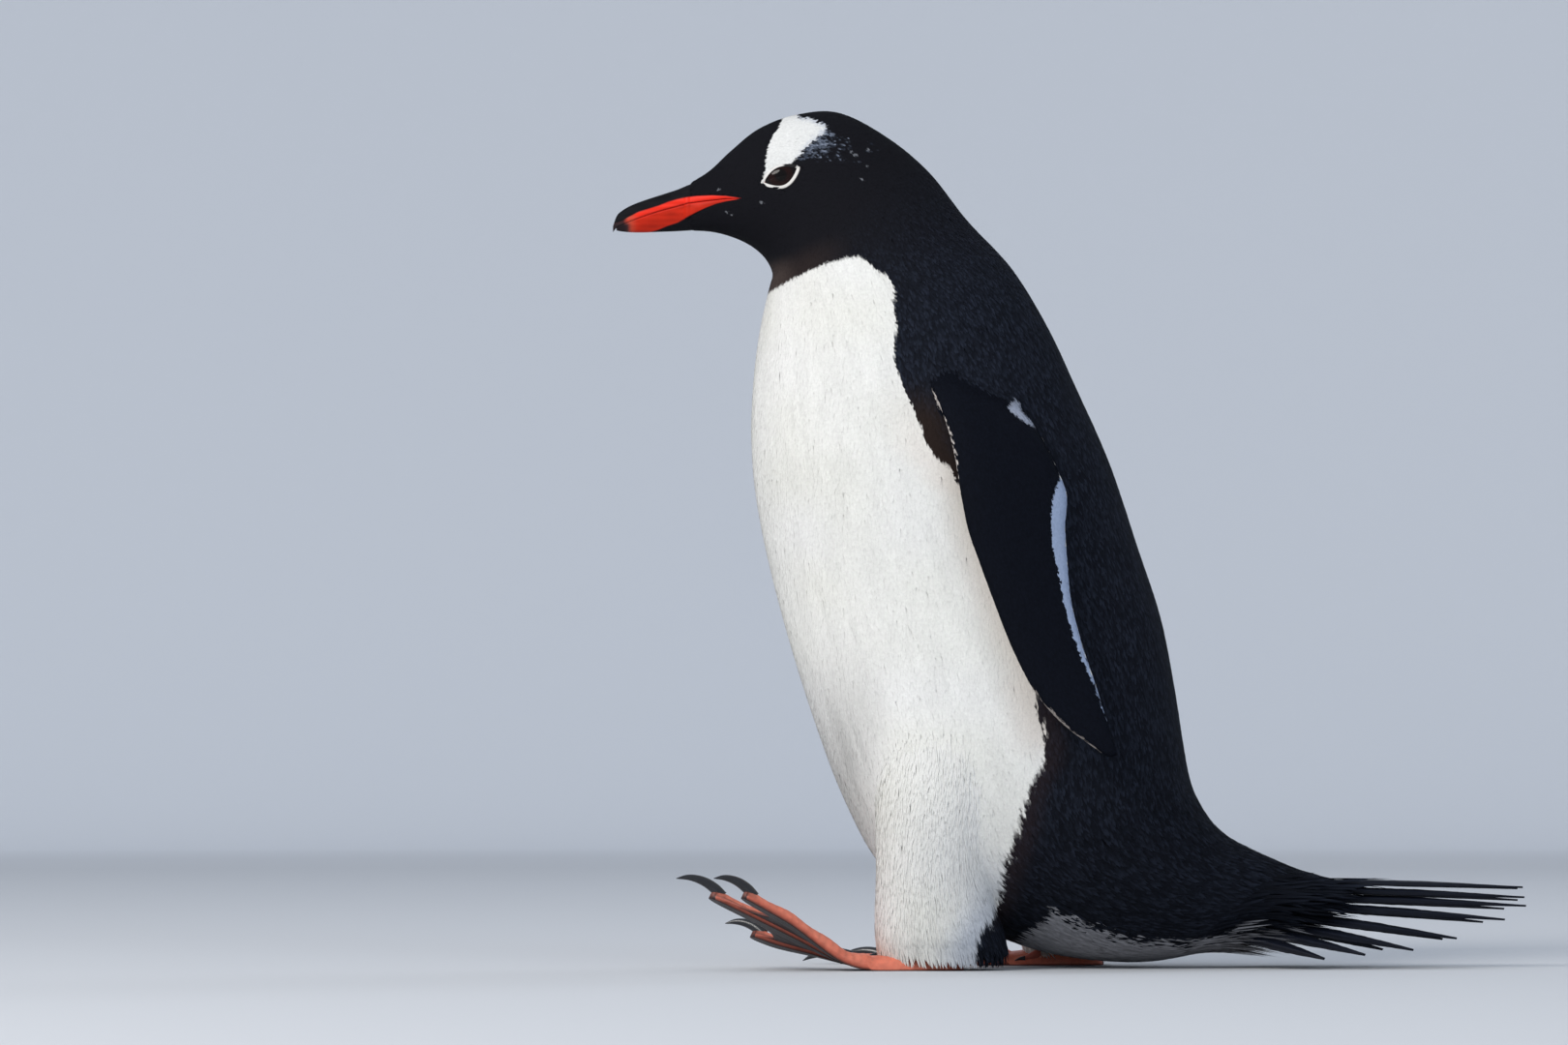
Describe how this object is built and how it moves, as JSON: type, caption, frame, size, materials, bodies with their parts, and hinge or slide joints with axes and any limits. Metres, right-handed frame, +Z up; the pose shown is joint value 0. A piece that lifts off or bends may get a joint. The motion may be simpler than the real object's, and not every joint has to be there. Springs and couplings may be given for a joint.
{
  "type": "gentoo penguin",
  "caption": "Life-size still model of an adult gentoo penguin in mid-stride, black above and white below, with a white eye patch, red bill and stiff fanned tail.",
  "frame": {"origin": "on the floor, under the middle of the bird's overall bounds", "axes": "the bird faces -Y, its left side is +X and +Z is up"},
  "size_m": [0.2146, 0.5083, 0.4782],
  "materials": {
    "head_plumage": "dense short feathers, near black with a white patch over the eye",
    "neck_plumage": "dense short feathers, near black behind, white on the throat's lower front",
    "trunk_plumage": "overlapping small feathers, white in front, blue-black on the back",
    "tail_plumage": "stiff narrow black feathers",
    "flipper_plumage": "scale-like feathers, blue-black with a white trailing edge",
    "leg_plumage": "white feathers down to the foot",
    "bill_horn": "smooth horn, orange-red sides, black ridge and tip",
    "eye_ball": "wet and dark brown",
    "foot_skin": "scaly pinkish orange skin",
    "claw_horn": "dark worn horn"
  },
  "bodies": {
    "root": {"head": "head_plumage", "neck": "neck_plumage", "trunk": "trunk_plumage", "tail": "tail_plumage", "bill_upper": "bill_horn", "bill_lower": "bill_horn", "eye_L": "eye_ball", "eye_R": "eye_ball", "flipper_L": "flipper_plumage", "flipper_R": "flipper_plumage", "leg_L": "leg_plumage", "leg_R": "leg_plumage", "foot_L": "foot_skin", "foot_R": "foot_skin", "hallux_L": "foot_skin", "hallux_R": "foot_skin", "claw_L_inner": "claw_horn", "claw_L_middle": "claw_horn", "claw_L_outer": "claw_horn", "claw_L_hallux": "claw_horn", "claw_R_inner": "claw_horn", "claw_R_middle": "claw_horn", "claw_R_outer": "claw_horn", "claw_R_hallux": "claw_horn"}
  },
  "joints": []
}
